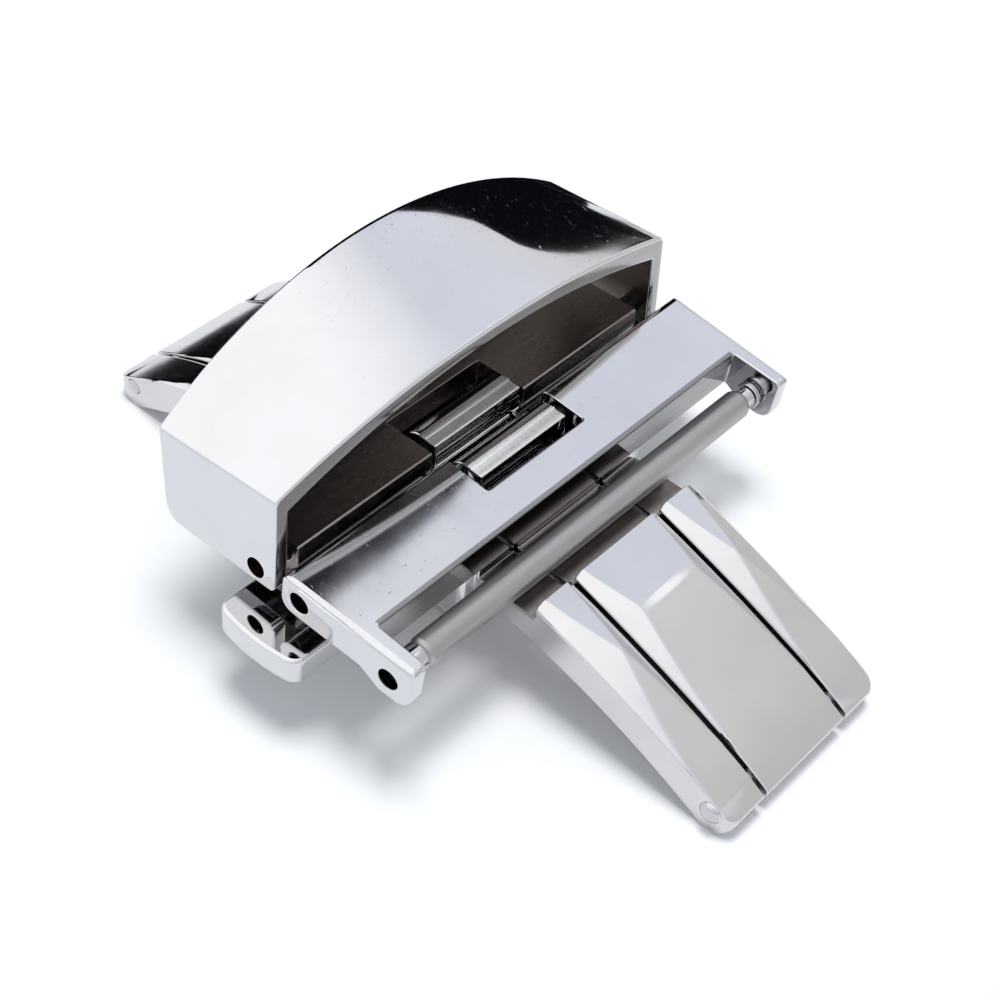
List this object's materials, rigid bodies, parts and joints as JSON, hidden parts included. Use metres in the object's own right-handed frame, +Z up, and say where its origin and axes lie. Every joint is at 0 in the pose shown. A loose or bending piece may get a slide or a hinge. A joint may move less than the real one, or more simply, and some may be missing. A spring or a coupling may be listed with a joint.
{
  "type": "watch strap clasp",
  "caption": "Push-button butterfly clasp for a watch strap: curved blade with two folding arms, an arched cover for the strap tail and a buckle frame with spring bar",
  "frame": {"origin": "middle of the clasp, on the surface that the two blade ends stand on", "axes": "+X along the strap towards the buckle frame, +Y across the strap, +Z up out of the wrist"},
  "size_m": [0.0346, 0.0266, 0.0129],
  "materials": {
    "polished_steel": "mirror-polished stainless steel",
    "satin_steel": "satin stainless steel",
    "brushed_steel": "polished and lightly ground stainless steel",
    "spring_steel": "plain drawn spring wire"
  },
  "bodies": {
    "base": {"base_blade": "polished_steel", "housing_floor": "brushed_steel", "housing_screws": "brushed_steel", "button_stop_pins": "brushed_steel", "cover_end_pin": "polished_steel", "frame_end_pin": "polished_steel", "button_spring_near": "spring_steel", "button_spring_far": "spring_steel"},
    "cover_arm_body": {"cover_arm": "polished_steel", "cover_arm_catch": "brushed_steel"},
    "frame_arm_body": {"frame_arm": "polished_steel", "frame_arm_catch": "brushed_steel"},
    "cover_body": {"arched_cover": "polished_steel", "cover_pin": "brushed_steel"},
    "strap_plate_body": {"strap_plate": "brushed_steel", "strap_peg": "brushed_steel"},
    "frame_body": {"buckle_frame": "polished_steel", "frame_pin": "brushed_steel"},
    "spring_bar_body": {"spring_bar_tube": "satin_steel", "spring_bar_tip_near": "satin_steel", "spring_bar_spring": "spring_steel"},
    "far_tip_body": {"spring_bar_tip_far": "satin_steel"},
    "near_button_body": {"button_near": "polished_steel"},
    "far_button_body": {"button_far": "polished_steel"}
  },
  "joints": [
    {"name": "cover_arm_fold", "type": "hinge", "parent": "base", "child": "cover_arm_body", "pos_m": [-0.01626, 0, 0.00105], "axis": [0, -1, 0], "range_deg": [0, 150]},
    {"name": "frame_arm_fold", "type": "hinge", "parent": "base", "child": "frame_arm_body", "pos_m": [0.01626, 0, 0.00105], "axis": [0, 1, 0], "range_deg": [0, 150]},
    {"name": "cover_swing", "type": "hinge", "parent": "cover_arm_body", "child": "cover_body", "pos_m": [-0.0014, 0, 0.006], "axis": [0, 1, 0], "range_deg": [0, 26]},
    {"name": "strap_plate_swing", "type": "hinge", "parent": "cover_arm_body", "child": "strap_plate_body", "pos_m": [-0.0014, 0, 0.006], "axis": [0, 1, 0], "range_deg": [0, 12]},
    {"name": "frame_swing", "type": "hinge", "parent": "frame_arm_body", "child": "frame_body", "pos_m": [0.00107, 0, 0.00607], "axis": [0, -1, 0], "range_deg": [0, 60]},
    {"name": "spring_bar_spin", "type": "hinge", "parent": "frame_body", "child": "spring_bar_body", "pos_m": [0.00553, 0, 0.00539], "axis": [0, 1, 0], "range_deg": [-180, 180]},
    {"name": "far_tip_press", "type": "slide", "parent": "spring_bar_body", "child": "far_tip_body", "axis": [0, -1, 0], "range_m": [0, 0.0005], "stiffness_N_per_m": 300, "springref_m": -0.001},
    {"name": "near_button_press", "type": "slide", "parent": "base", "child": "near_button_body", "axis": [0, 1, 0], "range_m": [0, 0.0005], "stiffness_N_per_m": 400, "springref_m": -0.001},
    {"name": "far_button_press", "type": "slide", "parent": "base", "child": "far_button_body", "axis": [0, -1, 0], "range_m": [0, 0.0005], "stiffness_N_per_m": 400, "springref_m": -0.001}
  ]
}
